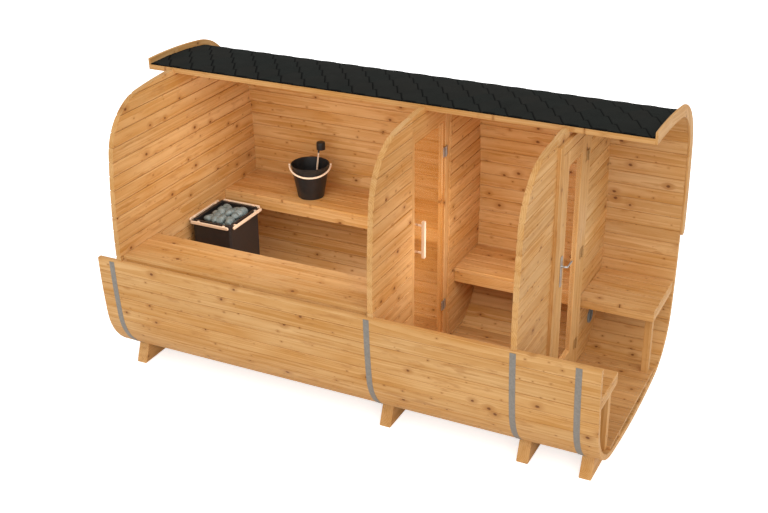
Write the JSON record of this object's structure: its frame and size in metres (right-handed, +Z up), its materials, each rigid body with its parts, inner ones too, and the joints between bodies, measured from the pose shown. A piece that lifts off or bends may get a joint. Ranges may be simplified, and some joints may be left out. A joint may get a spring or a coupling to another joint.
{
  "type": "cube sauna",
  "caption": "Cutaway outdoor cube sauna of wooden staves with a sauna room, a dressing room and a terrace, hinged doors, benches and a stone heater.",
  "frame": {"origin": "on the ground under the middle of the whole object's box", "axes": "+X along the length towards the terrace, +Y towards the whole far side with the full height wall, +Z up"},
  "size_m": [4.036, 2.089, 2.365],
  "materials": {
    "lit_spruce": "planed spruce staves with tight knots, clear oiled, satin",
    "wall_boards": "horizontal tongue and groove spruce boards, clear oiled",
    "planed_spruce": "planed spruce, clear oiled",
    "floor_boards": "planed spruce floor boards, matt",
    "bench_boards": "sanded bench slats, unfinished, matt",
    "small_wood": "sanded light wood, matt",
    "bitumen_shingle": "mineral granules on bitumen shingle, rough",
    "galvanised_steel": "dull galvanised strip",
    "vent_cover": "grey moulded plastic, satin",
    "chromed_fittings": "polished chrome plate",
    "door_glass": "clear toughened glass with a green edge",
    "heater_steel": "black powder coat, fine texture",
    "sauna_stone": "rounded grey-green stone, dry",
    "bucket_black": "black moulded plastic, satin"
  },
  "bodies": {
    "sauna": {"near_wall_staves": "lit_spruce", "near_corner_staves": "lit_spruce", "bottom_staves": "lit_spruce", "far_corner_staves": "lit_spruce", "far_wall_staves": "lit_spruce", "eaves_corner_staves": "lit_spruce", "roof_staves": "lit_spruce", "roof_shingles": "bitumen_shingle", "roof_edge_boards": "planed_spruce", "cradle_feet": "planed_spruce", "steel_bands": "galvanised_steel", "end_wall": "wall_boards", "sauna_wall_near": "wall_boards", "sauna_wall_far": "wall_boards", "sauna_wall_centre": "wall_boards", "front_wall_near": "wall_boards", "front_wall_far": "wall_boards", "front_wall_centre": "wall_boards", "sauna_door_frame": "planed_spruce", "sauna_hinge_plates": "chromed_fittings", "front_door_frame": "planed_spruce", "front_hinge_plates": "galvanised_steel", "wall_vent": "vent_cover", "sauna_floor": "floor_boards", "dressing_floor": "floor_boards", "terrace_floor": "floor_boards", "sauna_far_bench": "bench_boards", "sauna_near_bench": "bench_boards", "dressing_bench": "bench_boards", "terrace_far_bench": "bench_boards", "terrace_near_bench": "bench_boards", "heater_body": "heater_steel", "heater_stones": "sauna_stone", "heater_rail": "small_wood", "water_bucket": "bucket_black", "ladle": "small_wood"},
    "sauna_door": {"sauna_door_glass": "door_glass", "sauna_door_pulls": "small_wood", "sauna_hinge_clamps": "chromed_fittings"},
    "front_door": {"front_door_leaf": "planed_spruce", "front_door_pane": "door_glass", "front_hinge_leaves": "galvanised_steel", "handle_plates": "chromed_fittings"},
    "door_lever": {"door_lever": "chromed_fittings"},
    "bail": {"bucket_bail": "small_wood"}
  },
  "joints": [
    {"name": "sauna_door_hinge", "type": "hinge", "parent": "sauna", "child": "sauna_door", "pos_m": [0.3465, 0.25003, 1.2], "axis": [0, 0, 1], "range_deg": [0, 100]},
    {"name": "front_door_hinge", "type": "hinge", "parent": "sauna", "child": "front_door", "pos_m": [1.4455, 0.25003, 1.2], "axis": [0, 0, 1], "range_deg": [0, 100]},
    {"name": "lever_turn", "type": "hinge", "parent": "front_door", "child": "door_lever", "pos_m": [1.439, -0.23647, 1.304], "axis": [-1, 0, 0], "range_deg": [0, 40], "stiffness_Nm_per_rad": 1.5, "springref_deg": -20.05},
    {"name": "bail_swing", "type": "hinge", "parent": "sauna", "child": "bail", "pos_m": [-1.048, 0.62961, 1.348], "axis": [-0.8988, -0.4384, 0], "range_deg": [0, 135]}
  ]
}
